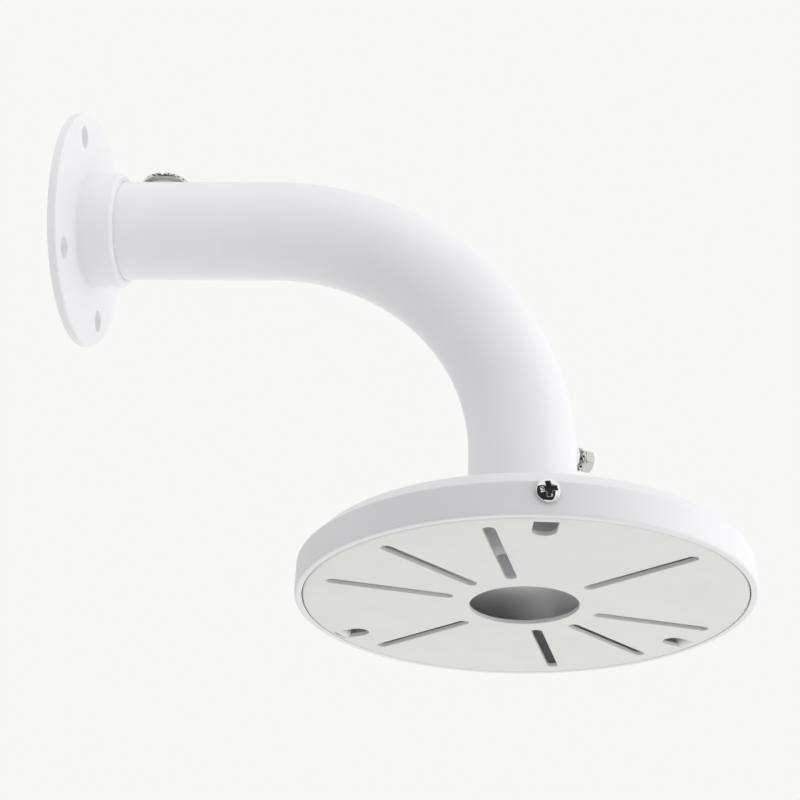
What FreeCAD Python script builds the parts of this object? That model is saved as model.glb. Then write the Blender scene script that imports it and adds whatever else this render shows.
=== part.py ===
import FreeCAD, Part
import math
import os
from FreeCAD import Placement, Rotation, Vector

# Wall bracket for a dome camera: a bent arm tube pressed into a round wall flange, with a shallow
# canopy plugged into its lower end and a slotted adapter plate screwed into the canopy's rim.
# Frame: origin at the centre of the flange's wall face, X out of the wall, Z up. Millimetres.

# Arm tube, with a welded boss for the lock bolt near its lower end
tube_diameter = 40.0
tube_wall = 2.5
straight_run = 78.5        # wall face to the start of the bend
bend_radius = 100.0        # centre line of the bend
drop_run = 42.4            # end of the bend to the top of the canopy
boss_diameter = 9.0
boss_height = 2.0          # beyond the tube's surface
weld_leg = 1.2

# Wall flange, one casting with the collar that holds the tube
flange_diameter = 95.0
flange_thickness = 3.5
flange_edge_round = 0.8
wall_bolt_circle = 76.0
wall_bolt_hole = 9.0
wall_bolt_count = 4
wall_bolt_turn = 45.0      # first hole, from straight up
collar_wall = 3.3
collar_end = 17.6          # wall face to the collar's open end
collar_edge_round = 1.6
collar_root_round = 0.4
tube_seat = 6.0            # wall face to the shoulder under the tube's end
seat_ledge = 3.5           # how far the shoulder stands in from the socket
press_clearance = 0.05

# Blanking plug in the side cable entry, on top of the arm
plug_from_wall = 32.1
plug_thread = 14.0
plug_head_diameter = 20.7
plug_head_height = 2.0
plug_thread_length = 7.0
plug_bore = 9.5
plug_flutes = 28
plug_flute_depth = 0.7
plug_slot_width = 1.8
plug_slot_depth = 0.9
seal_lift = 0.5            # seal between the tube's crown and the plug's head
seal_wall = 0.75

# Canopy, one casting with the spigot that goes up into the tube
canopy_diameter = 160.0
canopy_height = 16.3
canopy_chamfer = 5.4
canopy_edge_round = 0.7
canopy_top_wall = 3.0
rim_wall = 2.5
lip_round = 0.9
spigot_clearance = 0.3
spigot_wall = 2.2
spigot_height = 48.5       # above the canopy's top
inside_round = 2.0
screw_pad_width = 15.0
pad_clearance = 0.1

# Adapter plate, sheet metal with lanced tabs for the rim screws
plate_thickness = 1.6
plate_clearance = 0.35     # to the inside of the rim
plate_edge_round = 0.8     # rolled by the punch, on the lower face
plate_hole = 38.5
slot_width = 4.0
slot_hole_land = 7.05      # from the hole's edge to the slots
slot_edge_land = 6.15      # from the slots to the plate's edge
slot_angles = (0, 60, 120, 150, 180, 240, 300, 330)
slot_turn = -11.0          # first slot, from -Y toward +X
tab_width = 7.8
tab_set_in = 4.35          # from the plate's edge to the tab's inner face
tab_bend_round = 0.4
tab_kerf = 0.3             # cut away beyond the tab's round end
rim_screw_turns = (14.3, 134.3, 254.3)   # from the first slot

# Rim screws, M4 pan head with a cross recess
rim_screw_thread = 4.0
rim_screw_length = 10.0
rim_screw_head = 7.6
rim_screw_head_height = 2.7
rim_screw_head_side = 1.0  # straight part under the domed top
rim_screw_hole_clearance = 0.2
rim_screw_height = 7.6     # above the rim's lower edge
recess_span = 4.8
recess_width = 1.5
recess_depth = 1.9
recess_floor_share = 0.45  # the recess's width and span at its floor, of those at its mouth
recess_turn = 8.0

# Lock bolt, M5 hexagon head with a washer face, on a toothed lock washer
lock_thread = 5.0
lock_head_flats = 8.0
lock_head_height = 3.5
lock_head_chamfer = 0.5
lock_face_diameter = 8.4
lock_face_height = 1.0
lock_gap = 1.1             # the bolt is backed off, clear of the spigot, as it is supplied
lock_washer_diameter = 9.2
lock_washer_thickness = 0.9
lock_washer_teeth = 14
lock_washer_tooth_depth = 1.2
lock_height = 45.0         # above the canopy's top
lock_turn = 25.0           # from straight out, toward +Y
thread_clearance = 0.05

# Worked out from the sizes above
tube_radius = tube_diameter / 2
tube_bore = tube_radius - tube_wall
socket_radius = tube_radius + press_clearance
collar_radius = tube_radius + collar_wall
flange_bore = socket_radius - seat_ledge
drop_x = straight_run + bend_radius
canopy_top = -bend_radius - drop_run
rim_bottom = canopy_top - canopy_height
canopy_ceiling = canopy_top - canopy_top_wall
canopy_radius = canopy_diameter / 2
rim_inside = canopy_radius - rim_wall
inner_chamfer = canopy_chamfer + (math.sqrt(2) - 1) * rim_wall - canopy_top_wall
plate_top = rim_bottom + plate_thickness
plate_radius = rim_inside - plate_clearance
spigot_radius = tube_bore - spigot_clearance
spigot_bore = spigot_radius - spigot_wall
slot_inner_tip = plate_hole / 2 + slot_hole_land
slot_outer_tip = plate_radius - slot_edge_land
tab_face = plate_radius - tab_set_in
tab_back = tab_face + plate_thickness
tab_bend_centre = tab_back + tab_bend_round
pad_face = tab_bend_centre + pad_clearance
screw_z = rim_bottom + rim_screw_height
boss_face = tube_radius + boss_height
washer_foot = boss_face + lock_gap
washer_face = washer_foot + lock_washer_thickness
head_face = washer_face + lock_face_height
plug_seat = tube_radius + seal_lift

drop_centre = Vector(drop_x, 0, 0)
UP = Vector(0, 0, 1)


def outline(corners):
    """Closed wire in the XZ plane through (x, z, round) corners, each round given as an arc."""
    points = [Vector(x, 0, z) for x, z, _ in corners]
    count = len(points)
    spans = []
    for i, (_, _, radius) in enumerate(corners):
        here = points[i]
        if radius == 0:
            spans.append((here, here, here))
            continue
        back = (points[i - 1] - here).normalize()
        ahead = (points[(i + 1) % count] - here).normalize()
        half = back.getAngle(ahead) / 2
        reach = radius / math.tan(half)
        centre = here + (back + ahead).normalize() * (radius / math.sin(half))
        middle = centre + (here - centre).normalize() * radius
        spans.append((here + back * reach, middle, here + ahead * reach))
    edges = []
    for i, (start, middle, end) in enumerate(spans):
        if (end - start).Length > 1e-9:
            edges.append(Part.Arc(start, middle, end).toShape())
        following = spans[(i + 1) % count][0]
        if (following - end).Length > 1e-9:
            edges.append(Part.makeLine(end, following))
    return Part.Wire(edges)


def turned(corners, axis):
    """Solid of revolution of an outline about the X or Z axis."""
    return Part.Face(outline(corners)).revolve(Vector(0, 0, 0), axis, 360)


def cylinder(radius, start, direction, length):
    return Part.makeCylinder(radius, length, start, direction)


def ring_face(outer, inner, centre, normal):
    """Flat ring between two radii."""
    discs = [Part.Face(Part.Wire(Part.makeCircle(radius, centre, normal))) for radius in (outer, inner)]
    return discs[0].cut(discs[1]).Faces[0]


def moved(shape, place, turn=0.0, axis=UP):
    """A copy turned about an axis through the origin and then moved to a place."""
    copy = shape.copy()
    copy.Placement = Placement(place, Rotation(axis, turn)).multiply(copy.Placement)
    return copy


def placed_at_rim(shape, turn):
    """Moves a shape drawn with its radial direction along +X to the canopy's axis."""
    return moved(shape, drop_centre, turn - 90)


def one_solid(shape):
    shape = shape.removeSplitter()
    return shape.Solids[0] if len(shape.Solids) == 1 else shape


# Lock bolt's axis: level, from the tube's centre out through the boss
lock_direction = Vector(math.cos(math.radians(lock_turn)), math.sin(math.radians(lock_turn)), 0)
lock_origin = Vector(drop_x, 0, canopy_top + lock_height)


def make_wall_flange():
    """Round flange and collar cast in one, with the tube's socket and a bore for the cable."""
    body = turned([
        (0, flange_bore, 0),
        (0, flange_diameter / 2, 0),
        (flange_thickness, flange_diameter / 2, flange_edge_round),
        (flange_thickness, collar_radius, collar_root_round),
        (collar_end, collar_radius, collar_edge_round),
        (collar_end, socket_radius, 0),
        (tube_seat, socket_radius, 0),
        (tube_seat, flange_bore, 0),
    ], Vector(1, 0, 0))
    hole = cylinder(wall_bolt_hole / 2, Vector(-1, 0, wall_bolt_circle / 2), Vector(1, 0, 0),
                    flange_thickness + 2)
    for i in range(wall_bolt_count):
        turn = wall_bolt_turn + i * 360 / wall_bolt_count
        body = body.cut(moved(hole, Vector(0, 0, 0), turn, Vector(1, 0, 0)))
    return one_solid(body)


def make_arm_tube():
    """Round tube with one bend, the cable entry hole and the lock bolt's welded boss."""
    out = Vector(1, 0, 0)
    level = ring_face(tube_radius, tube_bore, out * tube_seat, out).extrude(out * (straight_run - tube_seat))
    bend = ring_face(tube_radius, tube_bore, out * straight_run, out)
    bend = bend.revolve(Vector(straight_run, 0, -bend_radius), Vector(0, 1, 0), 90)
    drop = ring_face(tube_radius, tube_bore, Vector(drop_x, 0, canopy_top), UP).extrude(UP * drop_run)
    tube = level.fuse([bend, drop])

    # The boss and the small cone that stands for its weld start inside the tube's wall
    root = tube_radius - tube_wall * 0.9
    start = lock_origin + lock_direction * root
    boss = cylinder(boss_diameter / 2, start, lock_direction, boss_face - root)
    weld = Part.makeCone(boss_diameter / 2 + 2 * weld_leg, boss_diameter / 2, boss_face - root - weld_leg,
                         start, lock_direction)
    tube = tube.fuse([boss, weld])

    entry = cylinder(plug_thread / 2 + thread_clearance, Vector(plug_from_wall, 0, 0), UP,
                     tube_diameter)
    thread = cylinder(lock_thread / 2 + thread_clearance, lock_origin, lock_direction,
                      tube_diameter)
    return one_solid(tube.cut(entry).cut(thread))


def make_entry_plug():
    """Slotted blanking plug with a fluted head and a hollow thread."""
    head = cylinder(plug_head_diameter / 2, Vector(0, 0, plug_seat), UP, plug_head_height)
    flute_radius = plug_head_diameter * math.pi / plug_flutes / 4
    reach = plug_head_diameter / 2 + flute_radius - plug_flute_depth
    flutes = []
    for i in range(plug_flutes):
        angle = 2 * math.pi * i / plug_flutes
        at = Vector(reach * math.cos(angle), reach * math.sin(angle), plug_seat + plug_head_height * 0.3)
        flutes.append(cylinder(flute_radius, at, UP, plug_head_height))
    head = head.cut(Part.makeCompound(flutes))
    stem = cylinder(plug_thread / 2, Vector(0, 0, plug_seat - plug_thread_length), UP,
                    plug_thread_length)
    hollow = cylinder(plug_bore / 2, Vector(0, 0, plug_seat - plug_thread_length - 1), UP,
                      plug_thread_length)
    slot = Part.makeBox(plug_slot_width, plug_head_diameter + 2, plug_slot_depth + 1,
                        Vector(-plug_slot_width / 2, -plug_head_diameter / 2 - 1,
                               plug_seat + plug_head_height - plug_slot_depth))
    plug = head.fuse(stem).cut(hollow).cut(slot)
    return one_solid(moved(plug, Vector(plug_from_wall, 0, 0)))


def make_plug_seal():
    """Soft sealing ring, flat under the plug's head and saddle shaped on the tube."""
    inner = plug_thread / 2 + thread_clearance
    centre = Vector(plug_from_wall, 0, 0)
    ring = cylinder(inner + seal_wall, centre, UP, plug_seat).cut(cylinder(inner, centre, UP, plug_seat))
    return one_solid(ring.cut(cylinder(tube_radius, Vector(0, 0, 0), Vector(1, 0, 0), 2 * plug_from_wall)))


def make_canopy():
    """Shallow round cover with a chamfered edge, its spigot and three screw pads inside the rim."""
    spigot_top = canopy_top + spigot_height
    outer = [
        (canopy_radius, rim_bottom, lip_round),
        (canopy_radius, canopy_top - canopy_chamfer, canopy_edge_round),
        (canopy_radius - canopy_chamfer, canopy_top, canopy_edge_round),
    ]
    body = turned([
        (spigot_bore, canopy_ceiling, inside_round),
        (rim_inside - inner_chamfer, canopy_ceiling, inside_round),
        (rim_inside, canopy_ceiling - inner_chamfer, inside_round),
        (rim_inside, rim_bottom, lip_round / 3),
        *outer,
        (spigot_radius, canopy_top, 0),
        (spigot_radius, spigot_top, spigot_wall / 2.5),
        (spigot_bore, spigot_top, spigot_wall / 2.5),
    ], UP)
    pad = Part.makeBox(canopy_radius - pad_face, screw_pad_width, canopy_top - plate_top,
                       Vector(pad_face, -screw_pad_width / 2, plate_top))
    # A pad ends inside the casting's wall, so it is kept within the outer form
    pad = pad.common(turned([(0, rim_bottom, 0), *outer, (0, canopy_top, 0)], UP))
    hole = cylinder(rim_screw_thread / 2 + rim_screw_hole_clearance,
                    Vector(tab_face, 0, screw_z), Vector(1, 0, 0), canopy_radius)
    body = moved(body, drop_centre)
    for turn in rim_screw_turns:
        body = body.fuse(placed_at_rim(pad, slot_turn + turn))
    for turn in rim_screw_turns:
        body = body.cut(placed_at_rim(hole, slot_turn + turn))
    return one_solid(body)


def slot_cutter(width, inner_tip, outer_tip, height):
    """Round-ended slot along +X, from the plate's lower face up."""
    radius = width / 2
    start = Vector(inner_tip + radius, 0, rim_bottom)
    end = Vector(outer_tip - radius, 0, rim_bottom)
    box = Part.makeBox((end - start).Length, width, height, start - Vector(0, radius, 0))
    return box.fuse([cylinder(radius, start, UP, height), cylinder(radius, end, UP, height)])


def make_adapter_plate():
    """Sheet disc with the centre hole, eight radial slots and three tabs bent up for the rim screws."""
    plate = turned([
        (0, rim_bottom, 0),
        (plate_radius, rim_bottom, plate_edge_round),
        (plate_radius, plate_top, 0),
        (0, plate_top, 0),
    ], UP)
    plate = plate.cut(cylinder(plate_hole / 2, Vector(0, 0, rim_bottom - 1), UP, plate_thickness + 2))
    cutter = slot_cutter(slot_width, slot_inner_tip, slot_outer_tip, plate_thickness)
    for angle in slot_angles:
        plate = plate.cut(moved(cutter, Vector(0, 0, 0), slot_turn + angle - 90))

    # The window is what the tab leaves open: its length laid flat, along the middle of the bend
    half = tab_width / 2
    tab_root_z = plate_top + tab_bend_round
    laid_flat = math.pi / 2 * (tab_bend_round + plate_thickness / 2) + screw_z + half - tab_root_z
    open_tip = tab_bend_centre - laid_flat - tab_kerf
    window = Part.makeBox(tab_bend_centre - open_tip - half, tab_width, plate_thickness,
                          Vector(open_tip + half, -half, rim_bottom))
    window = window.fuse(cylinder(half, Vector(open_tip + half, 0, rim_bottom), UP, plate_thickness))
    section = Part.makePolygon([
        Vector(tab_bend_centre, -half, rim_bottom),
        Vector(tab_bend_centre, half, rim_bottom),
        Vector(tab_bend_centre, half, plate_top),
        Vector(tab_bend_centre, -half, plate_top),
        Vector(tab_bend_centre, -half, rim_bottom),
    ])
    bend = Part.Face(section).revolve(Vector(tab_bend_centre, 0, tab_root_z), Vector(0, 1, 0), 90)
    blade = Part.makeBox(plate_thickness, tab_width, screw_z - tab_root_z,
                         Vector(tab_face, -half, tab_root_z))
    blade = blade.fuse(cylinder(half, Vector(tab_face, 0, screw_z), Vector(1, 0, 0), plate_thickness))
    tab = bend.fuse(blade)
    tab = tab.cut(cylinder(rim_screw_thread / 2 + thread_clearance, Vector(tab_face - 1, 0, screw_z),
                           Vector(1, 0, 0), plate_thickness + 2))
    for turn in rim_screw_turns:
        plate = plate.cut(moved(window, Vector(0, 0, 0), slot_turn + turn - 90))
    for turn in rim_screw_turns:
        plate = plate.fuse(moved(tab, Vector(0, 0, 0), slot_turn + turn - 90))
    return one_solid(moved(plate, drop_centre))


def make_rim_screw(turn):
    """Domed pan-head screw through the rim into a tab, drawn with its head toward +X."""
    out = Vector(1, 0, 0)
    top = rim_screw_head_height
    rise = top - rim_screw_head_side
    dome_radius = ((rim_screw_head / 2) ** 2 + rise ** 2) / (2 * rise)
    head = cylinder(rim_screw_head / 2, Vector(0, 0, 0), out, top)
    head = head.common(Part.makeSphere(dome_radius, Vector(top - dome_radius, 0, 0)))

    # Each wing of the recess is widest at the mouth, and drawn with its depth along +Y
    span, width = recess_span / 2, recess_width / 2
    floor_span, floor_width = span * recess_floor_share, width * recess_floor_share
    wing = Part.makeWedge(-floor_span, 0, -floor_width, -width, -span,
                          floor_span, recess_depth, floor_width, width, span)
    wing = moved(wing, Vector(top - recess_depth, 0, 0), -90)
    for angle in (recess_turn, recess_turn + 90):
        head = head.cut(moved(wing, Vector(0, 0, 0), angle, out))
    stem = cylinder(rim_screw_thread / 2, Vector(-rim_screw_length, 0, 0), out, rim_screw_length)
    screw = moved(head.fuse(stem), Vector(canopy_radius, 0, screw_z))
    return one_solid(placed_at_rim(screw, slot_turn + turn))


def along_lock(shape):
    """Moves a shape drawn along +X from the tube's centre onto the lock bolt's axis."""
    return moved(shape, lock_origin, lock_turn)


def make_lock_washer():
    """External-tooth washer under the bolt's head."""
    centre = Vector(washer_foot, 0, 0)
    out = Vector(1, 0, 0)
    washer = cylinder(lock_washer_diameter / 2, centre, out, lock_washer_thickness)
    washer = washer.cut(cylinder(lock_thread / 2 + thread_clearance, centre, out, lock_washer_thickness))
    gap_width = math.pi * lock_washer_diameter / lock_washer_teeth / 2.4
    gap = Part.makeBox(lock_washer_thickness, gap_width, lock_washer_tooth_depth + 1,
                       Vector(washer_foot, -gap_width / 2, lock_washer_diameter / 2 - lock_washer_tooth_depth))
    gaps = [moved(gap, Vector(0, 0, 0), i * 360 / lock_washer_teeth, out)
            for i in range(lock_washer_teeth)]
    return one_solid(along_lock(washer.cut(Part.makeCompound(gaps))))


def make_lock_bolt():
    """Hexagon-head bolt with a washer face, whose tip locks the canopy's spigot when it is turned in."""
    out = Vector(1, 0, 0)
    corner = lock_head_flats / 2 / math.cos(math.pi / 6)
    points = [Vector(head_face, corner * math.cos(math.radians(a)), corner * math.sin(math.radians(a)))
              for a in range(30, 391, 60)]
    head = Part.Face(Part.makePolygon(points)).extrude(out * lock_head_height)
    rounding = turned([
        (head_face, 0, 0),
        (head_face, corner, 0),
        (head_face + lock_head_height - lock_head_chamfer, corner, 0),
        (head_face + lock_head_height, lock_head_flats / 2 - 0.1, 0),
        (head_face + lock_head_height, 0, 0),
    ], out)
    head = head.common(rounding)
    face = cylinder(lock_face_diameter / 2, Vector(washer_face, 0, 0), out, lock_face_height)
    tip = spigot_radius + lock_gap
    stem = cylinder(lock_thread / 2, Vector(tip, 0, 0), out, washer_face - tip)
    return one_solid(along_lock(head.fuse([face, stem])))


def main():
    parts = {
        "wall_flange": make_wall_flange(),
        "arm_tube": make_arm_tube(),
        "entry_plug": make_entry_plug(),
        "plug_seal": make_plug_seal(),
        "canopy": make_canopy(),
        "adapter_plate": make_adapter_plate(),
        "lock_washer": make_lock_washer(),
        "lock_bolt": make_lock_bolt(),
    }
    for number, turn in enumerate(rim_screw_turns, start=1):
        parts["rim_screw_%d" % number] = make_rim_screw(turn)
    os.makedirs("parts", exist_ok=True)
    for name, shape in parts.items():
        shape.exportStep("parts/%s.step" % name)


main()
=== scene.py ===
import math

import bmesh
import bpy
from mathutils import Matrix, Vector


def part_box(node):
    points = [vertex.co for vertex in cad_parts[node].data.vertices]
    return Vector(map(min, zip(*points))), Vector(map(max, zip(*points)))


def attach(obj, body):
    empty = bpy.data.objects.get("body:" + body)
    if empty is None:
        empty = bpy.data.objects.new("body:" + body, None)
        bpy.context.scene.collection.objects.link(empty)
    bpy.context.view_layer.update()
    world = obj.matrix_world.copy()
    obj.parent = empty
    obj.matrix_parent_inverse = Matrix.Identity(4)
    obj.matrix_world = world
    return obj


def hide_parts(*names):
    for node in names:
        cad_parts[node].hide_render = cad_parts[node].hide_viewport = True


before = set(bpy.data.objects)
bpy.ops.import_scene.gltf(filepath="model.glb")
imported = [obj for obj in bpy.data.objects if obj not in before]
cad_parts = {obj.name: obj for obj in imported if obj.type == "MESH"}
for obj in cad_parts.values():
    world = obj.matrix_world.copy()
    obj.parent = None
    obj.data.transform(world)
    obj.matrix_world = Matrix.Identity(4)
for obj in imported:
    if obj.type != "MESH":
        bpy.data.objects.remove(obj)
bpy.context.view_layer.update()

# Wall flange with its collar: one aluminium die casting, turned clean in the socket, drilled for
# four wall bolts and powder coated white with the arm already pressed in.
MM = 0.001
WALL_TO_ROOM = Vector((1, 0, 0))
UP = Vector((0, 0, 1))
flange_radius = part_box("wall_flange")[1][2] / MM
flange_thickness = 3.5
flange_back_round = 0.3
flange_edge_round = 0.8
flange_points = 160
collar_radius = 23.3
collar_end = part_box("wall_flange")[1][0] / MM
collar_edge_round = 1.6
collar_root_round = 0.4
socket_radius = 20.05
socket_mouth_round = 0.3
socket_root_round = 0.2
tube_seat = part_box("arm_tube")[0][0] / MM
flange_bore = 16.55
flange_bore_round = 0.4
bolt_circle_radius = 38.0
bolt_hole_radius = 4.5
bolt_hole_turns = (45, 135, 225, 315)
edge_break = 0.35           # rounding that the blasting leaves on drilled edges
overshoot = 1.0             # how far a cutting form stands out past the surface
weld_distance = 1e-7        # in metres, closes hairline slits that cutting leaves in a mesh


def placing(origin, along, side):
    """Puts a form drawn in millimetres about its own Z axis onto an axis of the bracket."""
    along, side = Vector(along).normalized(), Vector(side).normalized()
    turn = Matrix((side, along.cross(side), along)).transposed().to_4x4()
    return Matrix.Translation(Vector(origin) * MM) @ turn @ Matrix.Scale(MM, 4)


def skinned(name, loops, place, ring=False):
    """Mesh through a stack of loops with equal numbers of points, capped, or closed into a ring."""
    mesh = bmesh.new()
    rows = [[mesh.verts.new(place @ Vector(point)) for point in loop] for loop in loops]
    pairs = list(zip(rows, rows[1:]))
    if ring:
        pairs.append((rows[-1], rows[0]))
    else:
        mesh.faces.new(rows[0])
        mesh.faces.new(rows[-1])
    for lower, upper in pairs:
        for i in range(len(lower)):
            mesh.faces.new((lower[i - 1], lower[i], upper[i], upper[i - 1]))
    bmesh.ops.recalc_face_normals(mesh, faces=mesh.faces)
    piece = bpy.data.objects.new(name, bpy.data.meshes.new(name))
    mesh.to_mesh(piece.data)
    mesh.free()
    bpy.context.scene.collection.objects.link(piece)
    return piece


def rounded(corners, closed=True, steps=6):
    """Profile through (radius, height, rounding) corners, each rounding drawn as an arc."""
    points = []
    for i, (radius, height, rounding) in enumerate(corners):
        here = Vector((radius, height))
        inner = closed or 0 < i < len(corners) - 1
        if rounding == 0 or not inner:
            points.append(here)
            continue
        back = (Vector(corners[i - 1][:2]) - here).normalized()
        ahead = (Vector(corners[(i + 1) % len(corners)][:2]) - here).normalized()
        half = back.angle(ahead) / 2
        centre = here + (back + ahead).normalized() * rounding / math.sin(half)
        start = here + back * rounding / math.tan(half) - centre
        end = here + ahead * rounding / math.tan(half) - centre
        sweep = start.angle_signed(end)
        for step in range(steps + 1):
            points.append(centre + Matrix.Rotation(-sweep * step / steps, 2) @ start)
    return [(point.x, point.y) for point in points]


def circle(radius, height, count):
    return [(radius * math.cos(2 * math.pi * i / count), radius * math.sin(2 * math.pi * i / count), height)
            for i in range(count)]


def turned(name, profile, place, count, ring=True):
    """Mesh turned through (radius, height) points about an axis."""
    return skinned(name, [circle(radius, height, count) for radius, height in profile], place, ring)


def flared(low, high, flare, steps=4):
    """Heights and widenings of a punch or drill form that leaves rounded edges on both faces."""
    arc = [math.pi / 2 * step / steps for step in range(steps + 1)]
    levels = [(low - overshoot, flare)]
    levels += [(low + flare - flare * math.cos(a), flare - flare * math.sin(a)) for a in arc]
    levels += [(high - flare + flare * math.sin(a), flare - flare * math.cos(a)) for a in arc]
    return levels + [(high + overshoot, flare)]


def combine(piece, other, how):
    """Cuts a tool form from a piece, or joins a form to it, and drops that form."""
    change = piece.modifiers.new("combine", "BOOLEAN")
    change.operation = how
    change.solver = "EXACT"
    change.object = other
    evaluated = piece.evaluated_get(bpy.context.evaluated_depsgraph_get())
    piece.data = bpy.data.meshes.new_from_object(evaluated)
    piece.modifiers.clear()
    bpy.data.objects.remove(other)


def drill(piece, radius, low, high, place, flare=edge_break, count=64):
    levels = [circle(radius + extra, height, count) for height, extra in flared(low, high, flare)]
    combine(piece, skinned("drill", levels, place), "DIFFERENCE")


def shader_nodes(name):
    """New material with a Principled shader, and a function that adds and sets one more node."""
    material = bpy.data.materials.new(name)
    material.use_nodes = True
    tree = material.node_tree
    tree.nodes.clear()

    def add(kind, **values):
        node = tree.nodes.new(kind)
        for socket, value in values.items():
            socket = node.inputs[socket.replace("_", " ")]
            if isinstance(value, bpy.types.NodeSocket):
                tree.links.new(value, socket)
            else:
                socket.default_value = value
        return node

    output = add("ShaderNodeOutputMaterial")
    shader = add("ShaderNodeBsdfPrincipled")
    tree.links.new(shader.outputs["BSDF"], output.inputs["Surface"])
    return material, shader, add


def mottled(add, where, scale, low, high, detail=2.0):
    """Noise over the surface, from one value or colour to another."""
    noise = add("ShaderNodeTexNoise", Vector=where, Scale=scale, Detail=detail)
    ramp = add("ShaderNodeValToRGB", Fac=noise.outputs["Fac"])
    stop_places = (0.3, 0.7)
    for stop, place, value in zip(ramp.color_ramp.elements, stop_places, (low, high)):
        stop.position = place
        stop.color = value if isinstance(value, tuple) else (value, value, value, 1)
    return ramp.outputs["Color"]


def powder_coat():
    """Satin white polyester powder: orange peel about a millimetre across, gloss a little uneven."""
    material, shader, add = shader_nodes("powder_coat")
    tree = material.node_tree
    where = add("ShaderNodeTexCoord").outputs["Object"]
    thin_powder = (0.843, 0.840, 0.862, 1)
    thick_powder = (0.867, 0.864, 0.886, 1)
    tree.links.new(mottled(add, where, 45, thin_powder, thick_powder), shader.inputs["Base Color"])
    tree.links.new(mottled(add, where, 70, low=0.38, high=0.47), shader.inputs["Roughness"])
    peel = add("ShaderNodeTexNoise", Vector=where, Scale=900, Detail=1.5)
    bump = add("ShaderNodeBump", Height=peel.outputs["Fac"], Strength=0.35, Distance=0.00003)
    tree.links.new(bump.outputs["Normal"], shader.inputs["Normal"])
    shader.inputs["Specular IOR Level"].default_value = 0.45
    return material


def dress(piece, material, slot, *nodes, sharp=35):
    """Gives a piece its finish, its place in the frame, and smooth shading between its sharp edges."""
    piece.data.materials.clear()
    piece.data.materials.append(material)
    mesh = bmesh.new()
    mesh.from_mesh(piece.data)
    bmesh.ops.remove_doubles(mesh, verts=mesh.verts, dist=weld_distance)
    bmesh.ops.dissolve_degenerate(mesh, edges=mesh.edges, dist=weld_distance)
    for face in mesh.faces:
        face.smooth = True
    for edge in mesh.edges:
        edge.smooth = edge.calc_face_angle(0) < math.radians(sharp)
    mesh.to_mesh(piece.data)
    mesh.free()
    even = piece.modifiers.new("even_shading", "WEIGHTED_NORMAL")
    even.keep_sharp = True
    if nodes:
        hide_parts(*nodes)
    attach(piece, "root")


coat = powder_coat()
wall_axis = placing((0, 0, 0), WALL_TO_ROOM, UP)
flange = turned("flange_casting", rounded([
    (flange_bore, 0, flange_bore_round),
    (flange_radius, 0, flange_back_round),
    (flange_radius, flange_thickness, flange_edge_round),
    (collar_radius, flange_thickness, collar_root_round),
    (collar_radius, collar_end, collar_edge_round),
    (socket_radius, collar_end, socket_mouth_round),
    (socket_radius, tube_seat, socket_root_round),
    (flange_bore, tube_seat, flange_bore_round),
]), wall_axis, flange_points)
for turn in bolt_hole_turns:
    around = Matrix.Rotation(math.radians(turn), 3, "X") @ Vector((0, 0, bolt_circle_radius))
    drill(flange, bolt_hole_radius, 0, flange_thickness, placing(around, WALL_TO_ROOM, UP))
dress(flange, coat, "powder_coat", "wall_flange")


# Arm: one aluminium tube, drawn over a mandrel into a single bend, its ends sawn and broken. The
# lock bolt's boss is welded on before coating, so the powder runs over the weld.
tube_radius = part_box("arm_tube")[1][1] / MM
tube_wall = 2.5
tube_bore = tube_radius - tube_wall
bend_start = 78.5
bend_radius = 100.0
bend_steps = 60
drop_x = bend_start + bend_radius
canopy_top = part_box("arm_tube")[0][2] / MM
end_break = 0.4
entry_x = 32.1
entry_radius = 7.05
entry_axis = placing((entry_x, 0, 0), UP, WALL_TO_ROOM)
bore_reach = 2.0            # a bore's cut starts and ends this far from the tube's wall
bore_edge_round = 0.2
boss_radius = 4.5
boss_height = 2.0
boss_edge_round = 0.4
boss_root = 0.7             # its straight side starts this far under its face, inside the weld
boss_points = 136
weld_leg = 1.2
weld_root = 0.8             # under the tube's surface
weld_sink = 0.03
weld_steps = 6
weld_ripple = 0.05
weld_ripples = 26
lock_height = 45.0          # above the canopy
lock_turn = math.radians(25)
lock_hole_radius = 2.55


def tube_ring(radius, centre, forward, count=96):
    """Ring round the tube's centre line; the bend lies in the XZ plane."""
    side = Vector((0, 1, 0))
    other = forward.cross(side)
    angles = [2 * math.pi * i / count for i in range(count)]
    return [centre + (side * math.cos(a) + other * math.sin(a)) * radius for a in angles]


def centre_line():
    """Points and directions down the middle of the tube, from the wall to the canopy."""
    out, down = Vector((1, 0, 0)), Vector((0, 0, -1))
    stations = [(Vector((x, 0, 0)), out) for x in (tube_seat, tube_seat + end_break)]
    for step in range(bend_steps + 1):
        angle = math.pi / 2 * step / bend_steps
        forward = out * math.cos(angle) + down * math.sin(angle)
        away = out * math.sin(angle) - down * math.cos(angle)
        stations.append((Vector((bend_start, 0, -bend_radius)) + away * bend_radius, forward))
    return stations + [(Vector((drop_x, 0, z)), down) for z in (canopy_top + end_break, canopy_top)]


stations = centre_line()
last = len(stations) - 1
outside = [tube_ring(tube_radius - (end_break if i in (0, last) else 0), *station)
           for i, station in enumerate(stations)]
inside = [tube_ring(tube_bore, *station) for station in stations]
tube = skinned("arm_tube_bent", outside + inside[::-1], Matrix.Scale(MM, 4), ring=True)
lock_direction = Vector((math.cos(lock_turn), math.sin(lock_turn), 0))
lock_centre = Vector((drop_x, 0, canopy_top + lock_height))
lock_axis = placing(lock_centre, lock_direction, UP)
boss_face = tube_radius + boss_height


def tube_reach(across, above):
    """Distance from the lock bolt's start out to the tube's surface, the bend's start included."""
    into_bend = max(lock_centre.z + above + bend_radius, 0)
    shift = bend_radius - math.sqrt(bend_radius ** 2 - into_bend ** 2)
    beside = across + shift * math.sin(lock_turn)
    return math.sqrt(tube_radius ** 2 - beside ** 2) - shift * math.cos(lock_turn)


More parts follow.
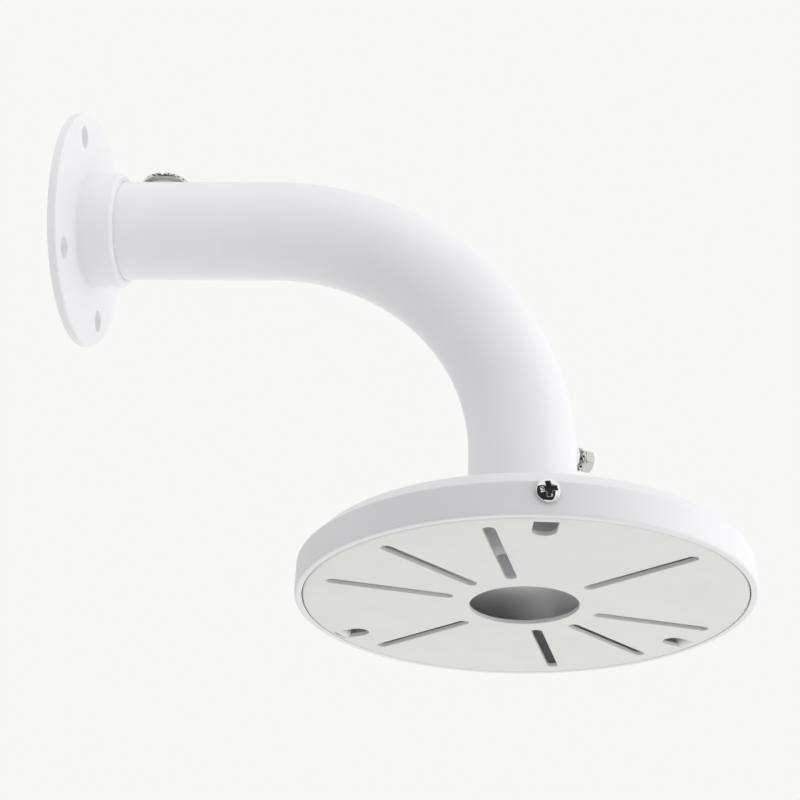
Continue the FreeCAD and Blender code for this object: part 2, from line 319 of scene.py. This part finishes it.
def boss_ring(radius, lift, wave=0.0):
    """Ring round the boss that follows the tube's surface, lifted above it."""
    ring = []
    for i in range(boss_points):
        angle = 2 * math.pi * i / boss_points
        out = radius + wave * math.sin(weld_ripples * angle)
        above, across = out * math.cos(angle), out * math.sin(angle)
        ring.append((above, across, tube_reach(across, above) + lift))
    return ring


bead = [boss_ring(boss_radius + weld_leg, -weld_root)]
for step in range(weld_steps + 1):
    angle = math.pi / 2 * step / weld_steps
    bead.append(boss_ring(boss_radius + weld_leg * math.cos(angle), weld_leg * math.sin(angle) - weld_sink,
                          weld_ripple * math.sin(2 * angle)))
boss_top = rounded([
    (boss_radius, boss_face - boss_root, 0),
    (boss_radius, boss_face, boss_edge_round),
    (lock_hole_radius, boss_face, 0),
], closed=False)
boss_loops = bead + [circle(radius, height, boss_points) for radius, height in boss_top]
combine(tube, skinned("boss", boss_loops, lock_axis), "UNION")
drill(tube, lock_hole_radius, tube_bore - bore_reach, boss_face, lock_axis, bore_edge_round, count=48)
drill(tube, entry_radius, tube_bore - bore_reach, tube_radius + bore_reach, entry_axis, bore_edge_round,
      count=96)
dress(tube, coat, "powder_coat", "arm_tube")


# Cable entry on top of the arm, closed by a nickel-plated brass plug: turned, its head knurled
# round the edge for the fingers and slotted for a coin, screwed down on a soft ring.
plug_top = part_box("entry_plug")[1][2] / MM
plug_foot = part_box("entry_plug")[0][2] / MM
plug_head_height = 2.0
plug_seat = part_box("entry_plug")[1][2] / MM - plug_head_height
plug_head_radius = 10.35
plug_head_chamfer = 0.2
flutes = 28
flute_depth = 0.7
flute_narrowing = 1.5       # a higher power gives narrower grooves
flute_start = 0.45          # above the seat, where the flutes begin
flute_full = 0.75           # above the seat, where they are at full depth
flute_end = 0.45            # below the top, where they fade into the crown
plug_crown_round = 0.15
plug_crown_flutes = 0.7     # share of their depth left on the crown
plug_crown_width = 0.55
plug_face_radius = 7.4      # inside this the face is turned a little hollow
plug_hollow_radius = 7.2
plug_hollow_depth = 0.15
points_per_flute = 12
plug_points = flutes * points_per_flute
thread_radius = 7.0
thread_pitch = 1.5
neck_height = 0.2
neck_inset = 0.3
plug_bore = 4.75
plug_bore_end = 1.0         # below the seat
plug_bore_chamfer = 0.3
slot_width = 1.8
slot_depth = 0.9
slot_edge = 0.15
seal_radius = 7.8
seal_edge = 0.1
seal_bulge = 0.15
seal_points = 96
seal_steps = 6


def fluted(radius, height, depth):
    """Circle with shallow grooves round it."""
    ring = []
    for i in range(plug_points):
        angle = 2 * math.pi * i / plug_points
        out = radius - depth * max(0.0, math.cos(flutes * angle)) ** flute_narrowing
        ring.append((out * math.cos(angle), out * math.sin(angle), height))
    return ring


def thread(radius, pitch, low, high, count):
    """Rings of a screw thread, fading out over its first and last half turn."""
    rings = []
    depth = pitch * 0.5
    ends_thinner = 0.15 * pitch
    rows_per_turn = 10
    rows = round((high - low) / pitch * rows_per_turn)
    for row in range(rows + 1):
        height = low + (high - low) * row / rows
        fade = min(1.0, (height - low) / pitch * 2, (high - height) / pitch * 2)
        ring = []
        for i in range(count):
            angle = 2 * math.pi * i / count
            phase = 2 * math.pi * (height / pitch - i / count)
            out = radius - depth * (0.5 - 0.5 * math.cos(phase)) * fade - ends_thinner * (1 - fade)
            ring.append((out * math.cos(angle), out * math.sin(angle), height))
        rings.append(ring)
    return rings


def plated(name, colour, rough, grain):
    """Bright plating over turned or pressed metal, with the fine marks left under it."""
    material, shader, add = shader_nodes(name)
    tree = material.node_tree
    where = add("ShaderNodeTexCoord").outputs["Object"]
    dull = tuple(value * 0.95 for value in colour)
    tree.links.new(mottled(add, where, 400, (*dull, 1), (*colour, 1)), shader.inputs["Base Color"])
    tree.links.new(mottled(add, where, 900, low=rough, high=rough + 0.06), shader.inputs["Roughness"])
    marks = add("ShaderNodeTexNoise", Vector=where, Scale=grain, Detail=3.0)
    bump = add("ShaderNodeBump", Height=marks.outputs["Fac"], Strength=0.1, Distance=0.00002)
    tree.links.new(bump.outputs["Normal"], shader.inputs["Normal"])
    shader.inputs["Metallic"].default_value = 1.0
    return material


def soft_ring_rubber():
    """Pale grey rubber, matt, with a faint bloom."""
    material, shader, add = shader_nodes("seal")
    tree = material.node_tree
    where = add("ShaderNodeTexCoord").outputs["Object"]
    bare_rubber = (0.76, 0.76, 0.75, 1)
    bloomed_rubber = (0.82, 0.82, 0.81, 1)
    tree.links.new(mottled(add, where, 500, bare_rubber, bloomed_rubber), shader.inputs["Base Color"])
    tree.links.new(mottled(add, where, 1500, low=0.55, high=0.7), shader.inputs["Roughness"])
    return material


nickel = plated("nickel", (0.74, 0.73, 0.69), rough=0.13, grain=1800)
bore_and_foot = [
    (plug_bore, plug_seat - plug_bore_end),
    (plug_bore, plug_foot + plug_bore_chamfer),
    (plug_bore + plug_bore_chamfer, plug_foot),
]
neck_and_seat = [
    (thread_radius - neck_inset, plug_seat),
    (plug_head_radius - plug_head_chamfer, plug_seat),
    (plug_head_radius, plug_seat + plug_head_chamfer),
]
top_face = [
    (plug_head_radius - plug_crown_width, plug_top),
    (plug_face_radius, plug_top),
    (plug_hollow_radius, plug_top - plug_hollow_depth),
]
plug_loops = [circle(radius, height, plug_points) for radius, height in bore_and_foot]
plug_loops += thread(thread_radius, thread_pitch, plug_foot, plug_seat - neck_height, plug_points)
plug_loops += [circle(radius, height, plug_points) for radius, height in neck_and_seat]
plug_loops += [fluted(plug_head_radius, plug_seat + flute_start, 0)]
plug_loops += [fluted(plug_head_radius, plug_seat + flute_full, flute_depth)]
plug_loops += [fluted(plug_head_radius, plug_top - flute_end, flute_depth)]
plug_loops += [fluted(plug_head_radius - plug_crown_round, plug_top - plug_crown_round,
                      flute_depth * plug_crown_flutes)]
plug_loops += [circle(radius, height, plug_points) for radius, height in top_face]
plug = skinned("entry_plug_turned", plug_loops, entry_axis)
slot_floor = plug_top - slot_depth
reach = plug_head_radius + overshoot
slot_loops = []
for height, extra in ((slot_floor, 0), (plug_top - slot_edge, 0), (plug_top, slot_edge),
                      (plug_top + overshoot, slot_edge)):
    half = slot_width / 2 + extra
    slot_loops.append([(-half, -reach, height), (half, -reach, height),
                       (half, reach, height), (-half, reach, height)])
combine(plug, skinned("slot", slot_loops, entry_axis), "DIFFERENCE")
dress(plug, nickel, "nickel", "entry_plug", sharp=30)


def saddle_ring(radius, share):
    """Ring between the tube's surface, share 0, and the underside of the plug's head, share 1."""
    ring = []
    for x, y, _ in circle(radius, 0, seal_points):
        surface = math.sqrt(tube_radius ** 2 - y ** 2)
        ring.append((x, y, surface + (plug_seat - surface) * share))
    return ring


seal_loops = [saddle_ring(entry_radius, share) for share in (1, 0)]
for step in range(seal_steps + 1):
    share = step / seal_steps
    bulge = seal_bulge * math.sin(math.pi * share)
    seal_loops.append(saddle_ring(seal_radius - seal_edge + bulge, share))
seal = skinned("plug_seal_ring", seal_loops, entry_axis, ring=True)
dress(seal, soft_ring_rubber(), "seal", "plug_seal")


# Canopy: a shallow die-cast cover with a chamfered edge. Its spigot slides up into the arm, and
# three pads inside the rim carry the adapter plate's screws. Coated like the arm.
canopy_radius = 80.0
rim_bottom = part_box("canopy")[0][2] / MM
spigot_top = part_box("canopy")[1][2] / MM
canopy_chamfer = 5.4
canopy_edge_round = 0.7
top_wall = 3.0
rim_wall = 2.5
lip_round = 0.9
spigot_radius = 17.2
spigot_bore = 15.0
spigot_edge_round = 0.88
spigot_root_round = 0.3
inside_round = 2.0
canopy_points = 288
ceiling = canopy_top - top_wall
rim_inside = canopy_radius - rim_wall
inner_chamfer = canopy_chamfer + (math.sqrt(2) - 1) * rim_wall - top_wall
pad_face = 74.9
pad_width = 15.0
pad_corner = 0.5
pad_foot = rim_bottom + 1.6        # level with the top of the adapter plate
pad_root = 78.5
pad_root_top = 2.4                 # below the ceiling, hidden in the rim's metal
slot_turn = math.radians(-11)      # first slot, from -Y toward +X
screw_angles = (14.3, 134.3, 254.3)
screw_turns = [slot_turn + math.radians(angle) for angle in screw_angles]
screw_height = rim_bottom + 7.6
rim_hole_radius = 2.2
rim_hole_edge = 0.2


def outward(turn):
    """Level direction from the canopy's middle."""
    return Vector((math.sin(turn), -math.cos(turn), 0))


canopy = turned("canopy_casting", rounded([
    (spigot_bore, ceiling, inside_round),
    (rim_inside - inner_chamfer, ceiling, inside_round),
    (rim_inside, ceiling - inner_chamfer, inside_round),
    (rim_inside, rim_bottom, lip_round / 3),
    (canopy_radius, rim_bottom, lip_round),
    (canopy_radius, canopy_top - canopy_chamfer, canopy_edge_round),
    (canopy_radius - canopy_chamfer, canopy_top, canopy_edge_round),
    (spigot_radius, canopy_top, spigot_root_round),
    (spigot_radius, spigot_top, spigot_edge_round),
    (spigot_bore, spigot_top, spigot_edge_round),
]), placing((drop_x, 0, 0), UP, outward(screw_turns[0])), canopy_points)
for turn in screw_turns:
    across = placing((drop_x, 0, 0), outward(turn + math.pi / 2), outward(turn))
    pad_loops = []
    for along, inset in ((-pad_width / 2, pad_corner), (pad_corner - pad_width / 2, 0),
                         (pad_width / 2 - pad_corner, 0), (pad_width / 2, pad_corner)):
        # Across the pad's axis a height counts downward
        pad_loops.append([(pad_face + inset, -(pad_foot + inset), along),
                          (pad_root, -(pad_foot + inset), along),
                          (pad_root, -(ceiling - pad_root_top), along),
                          (pad_face + inset, -(ceiling + overshoot), along)])
    combine(canopy, skinned("pad", pad_loops, across), "UNION")
    screw_axis = placing((drop_x, 0, screw_height), outward(turn), UP)
    drill(canopy, rim_hole_radius, pad_face, canopy_radius, screw_axis, rim_hole_edge, count=48)
dress(canopy, coat, "powder_coat", "canopy")


# Lock bolt: M5 hexagon head with a washer face, cold formed and nickel plated, over an external
# tooth washer. Driven home through the boss it holds the canopy's spigot fast in the arm.
bolt_gap = 1.1              # backed off by this much, clear of the spigot, as it is supplied
washer_height = 0.9
washer_sheet = 0.55
washer_radius = 4.6
washer_root = 3.4
washer_edge = 0.08
washer_bore_clearance = 0.1
tooth_root = 0.3            # flat ring inside the teeth
teeth = 14
tooth_points = 16
tooth_share = 0.58
tooth_twist = 0.16
bolt_points = 96
bolt_flats = 8.0
bolt_head_height = 3.5
bolt_corner = 4.45
bolt_head_start = 0.02      # first hexagon, above the washer face
bolt_head_edge = 0.15
bolt_head_inset = 0.1
bolt_crown_height = 0.6
bolt_crown_slope = 1.2
bolt_crown_inset = 0.15
bolt_crown_steps = 5
bolt_dish_start = 0.9       # from the flats inward, where the top turns down into its dish
bolt_dish_floor = 1.1
bolt_dish_depth = 0.12
washer_face_radius = 4.2
washer_face_height = 1.0
washer_face_round = 0.2
bolt_thread_radius = 2.5
bolt_pitch = 0.8
bolt_end = 0.1              # plain length at both ends of the thread
bolt_tip_chamfer = 0.5
bolt_neck_inset = 0.2


def toothed(radius, height, twist, tooth_radius=0.0):
    """Ring whose radius rises into teeth, each tooth's sheet twisted about its own middle."""
    ring = []
    for i in range(teeth * tooth_points):
        part = i % tooth_points / tooth_points
        angle = 2 * math.pi * i / (teeth * tooth_points)
        tooth = 0 <= part < tooth_share
        out = tooth_radius if tooth and tooth_radius else radius
        lean = twist * (part / tooth_share * 2 - 1) if tooth else 0
        ring.append((out * math.cos(angle), out * math.sin(angle), height + lean))
    return ring


middle = boss_face + bolt_gap + washer_height / 2
half_sheet = washer_sheet / 2
hole = bolt_thread_radius + washer_bore_clearance
washer = skinned("lock_washer_toothed", [
    toothed(hole, middle - half_sheet, 0),
    toothed(washer_root - tooth_root, middle - half_sheet, 0),
    toothed(washer_root, middle - half_sheet, tooth_twist, washer_radius - washer_edge),
    toothed(washer_root, middle - half_sheet + washer_edge, tooth_twist, washer_radius),
    toothed(washer_root, middle + half_sheet - washer_edge, tooth_twist, washer_radius),
    toothed(washer_root, middle + half_sheet, tooth_twist, washer_radius - washer_edge),
    toothed(washer_root - tooth_root, middle + half_sheet, 0),
    toothed(hole, middle + half_sheet, 0),
], lock_axis, ring=True)
dress(washer, nickel, "nickel", "lock_washer", sharp=25)


def hexagon(height, inset=0.0, limit=bolt_corner):
    """Hexagon with a corner straight up, its corners cut back to a limit radius."""
    ring = []
    for i in range(bolt_points):
        angle = 2 * math.pi * i / bolt_points
        beside = (angle % (math.pi / 3)) - math.pi / 6
        out = min(bolt_flats / 2 / math.cos(beside) - inset, limit)
        ring.append((out * math.cos(angle), out * math.sin(angle), height))
    return ring


bolt_face = boss_face + bolt_gap + washer_height
bolt_tip = spigot_radius + bolt_gap
head_foot = bolt_face + washer_face_height
head_top = head_foot + bolt_head_height
bolt_loops = [circle(bolt_thread_radius - bolt_tip_chamfer, bolt_tip, bolt_points)]
bolt_loops += thread(bolt_thread_radius, bolt_pitch, bolt_tip + bolt_end, bolt_face - bolt_end, bolt_points)
bolt_loops += [circle(radius, height, bolt_points) for radius, height in rounded([
    (bolt_thread_radius - bolt_neck_inset, bolt_face, 0),
    (washer_face_radius, bolt_face, washer_face_round),
    (washer_face_radius, head_foot, washer_face_round),
    (bolt_flats / 2 - bolt_head_inset, head_foot, 0),
], closed=False)]
bolt_loops += [hexagon(head_foot + bolt_head_start, bolt_head_inset), hexagon(head_foot + bolt_head_edge)]
for step in range(bolt_crown_steps + 1):
    down = bolt_crown_height * (1 - step / bolt_crown_steps)
    cut_back = bolt_flats / 2 - bolt_crown_inset + down * bolt_crown_slope
    bolt_loops.append(hexagon(head_top - down, 0, cut_back))
bolt_loops += [circle(bolt_flats / 2 - bolt_dish_start, head_top, bolt_points)]
bolt_loops += [circle(bolt_flats / 2 - bolt_dish_floor, head_top - bolt_dish_depth, bolt_points)]
bolt = skinned("lock_bolt_hexagon", bolt_loops, lock_axis)
dress(bolt, nickel, "nickel", "lock_bolt", sharp=22)


# Adapter plate: 1.6 mm steel sheet, punched and lanced in one stroke, its three tabs bent up and
# tapped, then painted light grey. It lies inside the canopy's rim, flush with the lip.
plate_radius = 77.15
plate_thickness = 1.6
plate_top = rim_bottom + plate_thickness
plate_edge_round = 0.8      # rolled by the punch, on the lower face
plate_upper_round = 0.2
plate_cap_inset = 2.0       # its flat faces start this far inside its edge
punch_round = 0.25
plate_hole_radius = 19.25
slot_half_width = 2.0
slot_start = 26.3
slot_end = 71.0
slot_angles = (0, 60, 120, 150, 180, 240, 300, 330)
tab_half_width = 3.9
tab_face = 72.8
tab_bend_round = 0.4
tab_bend_centre = tab_face + plate_thickness + tab_bend_round
window_start = 63.4
tab_corner = 0.2
tab_corner_share = 0.4      # of the half width, where the tab narrows to its tip
tab_root = 0.8              # how far the tab's strip runs on into the plate
tab_hole_radius = 2.05
tab_hole_edge = 0.2
tab_bend_steps = 8
tab_tip_turn = math.radians(86)
tab_tip_steps = 12


def punch_loops(start, end, half_width, levels, round_end=True, steps=12):
    """Outline with one or two round ends along +X, at each of a tool's levels."""
    loops = []
    for height, extra in levels:
        radius = half_width + extra
        arc = [math.pi * step / steps - math.pi / 2 for step in range(steps + 1)]
        loop = [(start + half_width - radius * math.cos(a), -radius * math.sin(a), height) for a in arc]
        if round_end:
            loop += [(end - half_width + radius * math.cos(a), radius * math.sin(a), height) for a in arc]
        else:
            loop += [(end + extra, -radius, height), (end + extra, radius, height)]
        loops.append(loop)
    return loops


def plate_paint():
    """Thin light grey paint over sheet steel, satin, with a fine grain and faint handling marks."""
    material, shader, add = shader_nodes("plate_paint")
    tree = material.node_tree
    where = add("ShaderNodeTexCoord").outputs["Object"]
    handled = (0.79, 0.79, 0.775, 1)
    clean = (0.82, 0.82, 0.80, 1)
    tree.links.new(mottled(add, where, 60, handled, clean, detail=4.0), shader.inputs["Base Color"])
    tree.links.new(mottled(add, where, 160, low=0.44, high=0.56), shader.inputs["Roughness"])
    grain = add("ShaderNodeTexNoise", Vector=where, Scale=2200, Detail=2.0)
    bump = add("ShaderNodeBump", Height=grain.outputs["Fac"], Strength=0.3, Distance=0.00002)
    tree.links.new(bump.outputs["Normal"], shader.inputs["Normal"])
    return material


plate_axis = placing((drop_x, 0, 0), UP, outward(slot_turn))
plate = turned("adapter_plate_sheet", rounded([
    (plate_radius - plate_cap_inset, rim_bottom, 0),
    (plate_radius, rim_bottom, plate_edge_round),
    (plate_radius, plate_top, plate_upper_round),
    (plate_radius - plate_cap_inset, plate_top, 0),
], closed=False, steps=4), plate_axis, canopy_points, ring=False)
drill(plate, plate_hole_radius, rim_bottom, plate_top, plate_axis, punch_round, count=128)
punch_levels = flared(rim_bottom, plate_top, punch_round)
for angle in slot_angles:
    ray = placing((drop_x, 0, 0), UP, outward(slot_turn + math.radians(angle)))
    slot = punch_loops(slot_start, slot_end, slot_half_width, punch_levels)
    combine(plate, skinned("punch", slot, ray), "DIFFERENCE")


def tab_section(half_width, middle, thickness_way):
    """Section of the tab's strip with softened corners, about a point of its middle line."""
    half = plate_thickness / 2
    corner = min(tab_corner, half_width * tab_corner_share)
    spots = [(half_width, half - corner), (half_width - corner, half), (corner - half_width, half),
             (-half_width, half - corner), (-half_width, corner - half), (corner - half_width, -half),
             (half_width - corner, -half), (half_width, corner - half)]
    return [(middle.x + thickness_way.x * t, w, middle.y + thickness_way.y * t) for w, t in spots]


root_middle = Vector((tab_bend_centre + tab_root, rim_bottom + plate_thickness / 2))
tab_loops = [tab_section(tab_half_width, root_middle, Vector((0, 1)))]
bend_middle = tab_bend_round + plate_thickness / 2
for step in range(tab_bend_steps + 1):
    angle = math.pi / 2 * step / tab_bend_steps
    spoke = Vector((-math.sin(angle), -math.cos(angle)))
    centre = Vector((tab_bend_centre, plate_top + tab_bend_round))
    tab_loops.append(tab_section(tab_half_width, centre + spoke * bend_middle, -spoke))
for step in range(tab_tip_steps + 1):
    angle = tab_tip_turn * step / tab_tip_steps
    spot = Vector((tab_bend_centre - bend_middle, screw_height + tab_half_width * math.sin(angle)))
    tab_loops.append(tab_section(tab_half_width * math.cos(angle), spot, Vector((1, 0))))
for turn in screw_turns:
    ray = placing((drop_x, 0, 0), UP, outward(turn))
    window = punch_loops(window_start, tab_bend_centre, tab_half_width, punch_levels, round_end=False)
    combine(plate, skinned("punch", window, ray), "DIFFERENCE")
    tab = skinned("tab", tab_loops, ray)
    screw_axis = placing((drop_x, 0, screw_height), outward(turn), UP)
    drill(tab, tab_hole_radius, tab_face, tab_face + plate_thickness, screw_axis, tab_hole_edge, count=48)
    combine(plate, tab, "UNION")
dress(plate, plate_paint(), "plate_paint", "adapter_plate")


# Rim screws: three M4 pan heads with a cross recess, cold formed and bright plated, through the
# canopy's rim into the plate's tabs.
screw_radius = 3.8
screw_head = 2.7
screw_side = 1.0
screw_foot_chamfer = 0.15
screw_shoulder = 0.12       # the side ends this far below the dome's foot
screw_dome_inset = 0.1
screw_crown_share = 0.97    # of the dome's angle, the rest is the flat at its middle
screw_dome_steps = 12
screw_thread_radius = 2.0
screw_pitch = 0.7
screw_length = 10.0
screw_tip_length = 0.3
screw_tip_chamfer = 0.5
screw_neck = 0.1
screw_points = 72
recess_span = 2.5
recess_half_width = 0.8
recess_depth = 1.9
recess_floor_share = 0.45
recess_turn = math.radians(8)
recess_edge = 0.3           # rounding that the punch leaves at the dome
recess_edge_steps = 5
recess_lift = 0.03          # its rounded edge ends this far above the dome
recess_top = 0.5            # the cutting form ends this far above the head


def cross(span, half, steps=5):
    """Outline of a cross recess, each of its twelve straight sides in a few steps."""
    corners = []
    arm = ((half, half), (span, half), (span, -half))
    for c, s in ((1, 0), (0, -1), (-1, 0), (0, 1)):
        corners += [Vector((c * x - s * y, s * x + c * y)) for x, y in arm]
    sides = zip(corners, corners[1:] + corners[:1])
    return [start.lerp(end, step / steps) for start, end in sides for step in range(steps)]


chrome = plated("chrome_screw", (0.93, 0.93, 0.94), rough=0.05, grain=1400)
rise = screw_head - screw_side
dome = (screw_radius ** 2 + rise ** 2) / (2 * rise)
screw_profile = [
    (screw_radius - screw_foot_chamfer, 0),
    (screw_radius, screw_foot_chamfer),
    (screw_radius, screw_side - screw_shoulder),
]
dome_edge = math.asin((screw_radius - screw_dome_inset) / dome)
for step in range(screw_dome_steps + 1):
    angle = dome_edge * (1 - step / screw_dome_steps * screw_crown_share)
    screw_profile.append((dome * math.sin(angle), screw_head - dome + dome * math.cos(angle)))
for number, turn in enumerate(screw_turns, start=1):
    seat = placing(outward(turn) * canopy_radius + Vector((drop_x, 0, screw_height)), outward(turn), UP)
    loops = [circle(screw_thread_radius - screw_tip_chamfer, -screw_length, screw_points)]
    loops += thread(screw_thread_radius, screw_pitch, screw_tip_length - screw_length, -screw_neck,
                    screw_points)
    loops += [circle(screw_thread_radius - screw_neck, 0, screw_points)]
    loops += [circle(radius, height, screw_points) for radius, height in screw_profile]
    screw = skinned("rim_screw_%d_pan" % number, loops, seat)
    floor_outline = cross(recess_span * recess_floor_share, recess_half_width * recess_floor_share)
    wings = [[(x, y, screw_head - recess_depth) for x, y in floor_outline]]
    for step in range(recess_edge_steps + 1):
        angle = math.pi / 2 * step / recess_edge_steps
        grow = recess_edge * (1 - math.cos(angle))
        lift = recess_edge * (math.sin(angle) - 1) + recess_lift
        wings.append([(x, y, screw_head - dome + math.sqrt(dome ** 2 - x ** 2 - y ** 2) + lift)
                      for x, y in cross(recess_span + grow, recess_half_width + grow)])
    top_outline = cross(recess_span + recess_edge, recess_half_width + recess_edge)
    wings.append([(x, y, screw_head + recess_top) for x, y in top_outline])
    recess = skinned("recess", wings, seat @ Matrix.Rotation(recess_turn, 4, "Z"))
    combine(screw, recess, "DIFFERENCE")
    dress(screw, chrome, "chrome_screw", "rim_screw_%d" % number, sharp=28)


# Studio: a pale floor well below, the main soft light from the right, weaker ones from behind and
# from above the camera, and an even pale room.
def floor_paint():
    """Matt white floor, a little uneven."""
    material, shader, add = shader_nodes("floor_paint")
    where = add("ShaderNodeTexCoord").outputs["Object"]
    worn = (0.965, 0.965, 0.955, 1)
    fresh = (0.985, 0.985, 0.975, 1)
    material.node_tree.links.new(mottled(add, where, 3, worn, fresh), shader.inputs["Base Color"])
    shader.inputs["Roughness"].default_value = 0.9
    return material


floor_depth = 1.4           # below the lamps' lower edges, so that none cuts the floor
half_floor = 4.5
floor_thickness = 0.05
floor_loops = []
for height in (-floor_depth - floor_thickness, -floor_depth):
    floor_loops.append([(-half_floor, -half_floor, height), (half_floor, -half_floor, height),
                        (half_floor, half_floor, height), (-half_floor, half_floor, height)])
floor = skinned("studio_floor", floor_loops, Matrix.Identity(4))
floor.data.materials.append(floor_paint())


lamp_target = Vector((0.13, 0, -0.08))


def soft_lamp(name, place, size, power):
    """Square soft light turned toward the bracket, and not itself mirrored in the bright metal."""
    lamp = bpy.data.lights.new(name, "AREA")
    lamp.shape = "SQUARE"
    lamp.size = size
    lamp.energy = power
    holder = bpy.data.objects.new(name, lamp)
    bpy.context.scene.collection.objects.link(holder)
    holder.visible_glossy = False
    holder.location = place
    holder.rotation_mode = "QUATERNION"
    holder.rotation_quaternion = (lamp_target - Vector(place)).to_track_quat("-Z", "Y")


soft_lamp("right_softbox", place=(1.40, -0.10, -0.06), size=1.8, power=9.8)
soft_lamp("back_softbox", place=(0.13, 1.3, -0.08), size=1.1, power=5.8)
soft_lamp("front_softbox", place=(0.13, -0.92, 0.84), size=1.1, power=3.6)


def flag_cloth():
    """Black studio cloth."""
    material, shader, add = shader_nodes("flag_cloth")
    where = add("ShaderNodeTexCoord").outputs["Object"]
    deep = (0.012, 0.012, 0.013, 1)
    dusty = (0.02, 0.02, 0.021, 1)
    material.node_tree.links.new(mottled(add, where, 40, deep, dusty), shader.inputs["Base Color"])
    shader.inputs["Roughness"].default_value = 1.0
    return material


cloth_thickness = 2.0


def black_flag(name, levels, first_turn, last_turn, steps=24):
    """Black cloth bent round the canopy's middle, through (radius, height) levels, not seen itself."""
    loops = []
    for radius, height in levels:
        outer, inner = [], []
        for step in range(steps + 1):
            spoke = outward(math.radians(first_turn + (last_turn - first_turn) * step / steps))
            outer.append(spoke * radius + Vector((drop_x, 0, height)))
            inner.append(spoke * (radius - cloth_thickness) + Vector((drop_x, 0, height)))
        loops.append(outer + inner[::-1])
    flag = skinned(name, loops, Matrix.Scale(MM, 4))
    flag.data.materials.append(cloth)
    flag.visible_camera = False
    return flag


# Two small flags close to the rim shade it in front and on the left. The tall one shades nothing: it
# is only what bright metal mirrors, as the dark side of a room behind the camera would be.
cloth = flag_cloth()
black_flag("rim_flag", levels=((178, -205), (178, -135)), first_turn=-32, last_turn=16)
black_flag("left_flag", levels=((165, -200), (165, -135)), first_turn=-88, last_turn=-60)
dark_side = black_flag("dark_side", levels=((350, -750), (1100, -300), (1100, 950)),
                       first_turn=-85, last_turn=50)
dark_side.visible_diffuse = False
dark_side.visible_shadow = False

world = bpy.data.worlds.new("pale_studio")
bpy.context.scene.world = world
world.use_nodes = True
tree = world.node_tree
tree.nodes.clear()
room_light = 0.712
backdrop_colour = (0.939, 0.939, 0.922, 1)
output = tree.nodes.new("ShaderNodeOutputWorld")
light = tree.nodes.new("ShaderNodeBackground")
light.inputs["Color"].default_value = (1, 1, 1, 1)
light.inputs["Strength"].default_value = room_light
backdrop = tree.nodes.new("ShaderNodeBackground")
backdrop.inputs["Color"].default_value = backdrop_colour
path = tree.nodes.new("ShaderNodeLightPath")
seen = path.outputs["Is Camera Ray"]
for ray in ("Is Glossy Ray", "Is Transmission Ray"):
    either = tree.nodes.new("ShaderNodeMath")
    either.operation = "MAXIMUM"
    tree.links.new(seen, either.inputs[0])
    tree.links.new(path.outputs[ray], either.inputs[1])
    seen = either.outputs["Value"]
mix = tree.nodes.new("ShaderNodeMixShader")
tree.links.new(seen, mix.inputs["Fac"])
tree.links.new(light.outputs["Background"], mix.inputs[1])
tree.links.new(backdrop.outputs["Background"], mix.inputs[2])
tree.links.new(mix.outputs["Shader"], output.inputs["Surface"])

# Camera: below and in front of the arm and looking up at it, turned and rolled a little off square.
# Its place and focal length follow from the arm's and the rim's outlines in the photograph.
camera_azimuth = math.radians(1.735)
camera_elevation = math.radians(29.809)
camera_roll = math.radians(1.172)
camera_place = Vector((161.12, -454.64, -320.67)) * MM
focal_pixels = 1361.04
picture_pixels = 800
picture_shift = -0.05
sensor = 36.0
toward = Vector((-math.sin(camera_azimuth) * math.cos(camera_elevation),
                 math.cos(camera_azimuth) * math.cos(camera_elevation), math.sin(camera_elevation)))
level = Vector((math.cos(camera_azimuth), math.sin(camera_azimuth), 0))
above = level.cross(toward)
right = level * math.cos(camera_roll) + above * math.sin(camera_roll)
up = above * math.cos(camera_roll) - level * math.sin(camera_roll)
camera_data = bpy.data.cameras.new("camera")
camera_data.sensor_width = sensor
camera_data.lens = sensor * focal_pixels / picture_pixels
camera_data.shift_x = picture_shift
camera_data.shift_y = picture_shift
camera = bpy.data.objects.new("camera", camera_data)
bpy.context.scene.collection.objects.link(camera)
camera.matrix_world = (Matrix.Translation(camera_place)
                       @ Matrix((right, up, -toward)).transposed().to_4x4())
bpy.context.scene.camera = camera
bpy.context.scene.view_settings.view_transform = "Standard"
